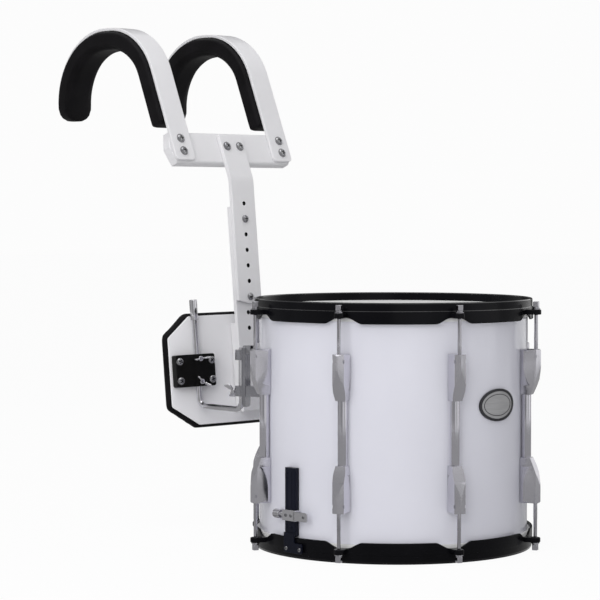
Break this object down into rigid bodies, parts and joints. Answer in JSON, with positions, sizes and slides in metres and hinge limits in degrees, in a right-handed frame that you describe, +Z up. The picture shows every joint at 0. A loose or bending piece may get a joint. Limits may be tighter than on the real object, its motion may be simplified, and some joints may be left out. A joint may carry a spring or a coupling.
{
  "type": "marching snare drum with carrier",
  "caption": "Marching snare drum in gloss white with black cast hoops, hung by J-rods on a white shoulder carrier with a curved belly plate.",
  "frame": {"origin": "centre of the base of the whole object's bounding box, at the height of the lower hoop's bottom edge", "axes": "+Z up along the drum's axis, +Y from the drum towards the player who wears the carrier, +X to the right seen from the front of the drum"},
  "size_m": [0.379, 0.752, 0.704],
  "materials": {
    "white_wrap": "gloss white wrap over a wooden shell",
    "coated_film": "coated white film",
    "black_hoop": "gloss black coat on cast hoop",
    "black_bracket": "gloss black coat",
    "chrome": "polished chrome plate",
    "snare_steel": "drawn steel wire",
    "badge_metal": "brushed field inside a dark ring",
    "bolt_steel": "zinc plated",
    "white_paint": "satin white powder coat on aluminium",
    "pad_foam": "black foam with a closed skin",
    "black_plastic": "moulded black plastic"
  },
  "bodies": {
    "drum": {"shell": "white_wrap", "batter_head": "coated_film", "snare_side_head": "coated_film", "batter_hoop": "black_hoop", "snare_side_hoop": "black_hoop", "lug_1": "chrome", "lug_2": "chrome", "lug_3": "chrome", "lug_4": "chrome", "lug_5": "chrome", "lug_6": "chrome", "lug_7": "chrome", "lug_8": "chrome", "batter_rod_1": "chrome", "batter_rod_2": "chrome", "batter_rod_3": "chrome", "batter_rod_4": "chrome", "batter_rod_5": "chrome", "batter_rod_6": "chrome", "batter_rod_7": "chrome", "batter_rod_8": "chrome", "snare_rod_1": "chrome", "snare_rod_2": "chrome", "snare_rod_3": "chrome", "snare_rod_4": "chrome", "snare_rod_5": "chrome", "snare_rod_6": "chrome", "snare_rod_7": "chrome", "snare_rod_8": "chrome", "snare_wires": "snare_steel", "strainer_rail": "black_bracket", "strainer_guide": "black_bracket", "snare_butt": "chrome", "badge": "badge_metal", "receiver_left": "chrome", "receiver_right": "chrome"},
    "j_rods": {"j_rod_left": "chrome", "j_rod_right": "chrome"},
    "carrier": {"lower_bar": "white_paint", "t_bar": "white_paint", "t_bar_bolt_lower": "bolt_steel", "t_bar_bolt_upper": "bolt_steel", "crossbar": "white_paint", "hook_strap_left": "white_paint", "hook_strap_right": "white_paint", "shoulder_pad_left": "pad_foam", "shoulder_pad_right": "pad_foam", "belly_plate": "white_paint", "belly_pad": "pad_foam", "rod_clamp_left": "black_plastic", "rod_clamp_right": "black_plastic"},
    "strainer_slide": {"strainer_slide": "chrome"},
    "strainer_thumbscrew": {"strainer_thumbscrew": "chrome"},
    "receiver_screw_left": {"receiver_screw_left": "chrome"},
    "clamp_screw_left_upper": {"clamp_screw_left_upper": "chrome"},
    "clamp_screw_left_lower": {"clamp_screw_left_lower": "chrome"},
    "receiver_screw_right": {"receiver_screw_right": "chrome"},
    "clamp_screw_right_upper": {"clamp_screw_right_upper": "chrome"},
    "clamp_screw_right_lower": {"clamp_screw_right_lower": "chrome"}
  },
  "joints": [
    {"name": "hook_slide", "type": "slide", "parent": "drum", "child": "j_rods", "axis": [0, 0, 1], "range_m": [-0.07, 0.004]},
    {"name": "carrier_slide", "type": "slide", "parent": "j_rods", "child": "carrier", "axis": [0, 0.0976, 0.9952], "range_m": [-0.014, 0.043]},
    {"name": "clamp_screw_left_upper_turn", "type": "hinge", "parent": "carrier", "child": "clamp_screw_left_upper", "pos_m": [-0.08361, 0.10695, 0.23699], "axis": [-0.2343, -0.9675, 0.0949], "continuous": true},
    {"name": "clamp_screw_left_lower_turn", "type": "hinge", "parent": "carrier", "child": "clamp_screw_left_lower", "pos_m": [-0.08361, 0.10387, 0.20555], "axis": [-0.2343, -0.9675, 0.0949], "continuous": true},
    {"name": "clamp_screw_right_upper_turn", "type": "hinge", "parent": "carrier", "child": "clamp_screw_right_upper", "pos_m": [0.08523, 0.10695, 0.23699], "axis": [0.2343, -0.9675, 0.0949], "continuous": true},
    {"name": "clamp_screw_right_lower_turn", "type": "hinge", "parent": "carrier", "child": "clamp_screw_right_lower", "pos_m": [0.08523, 0.10387, 0.20555], "axis": [0.2343, -0.9675, 0.0949], "continuous": true},
    {"name": "receiver_screw_left_turn", "type": "hinge", "parent": "drum", "child": "receiver_screw_left", "pos_m": [-0.08717, 0.02513, 0.1975], "axis": [-0.3827, 0.9239, 0], "continuous": true},
    {"name": "receiver_screw_right_turn", "type": "hinge", "parent": "drum", "child": "receiver_screw_right", "pos_m": [0.08879, 0.02513, 0.1975], "axis": [0.3827, 0.9239, 0], "continuous": true},
    {"name": "strainer_lift", "type": "slide", "parent": "drum", "child": "strainer_slide", "axis": [0, 0, 1], "range_m": [-0.01, 0.05]},
    {"name": "strainer_thumbscrew_turn", "type": "hinge", "parent": "strainer_slide", "child": "strainer_thumbscrew", "pos_m": [-0.18326, -0.17924, 0.055], "axis": [0.0436, 0.999, 0], "continuous": true}
  ]
}
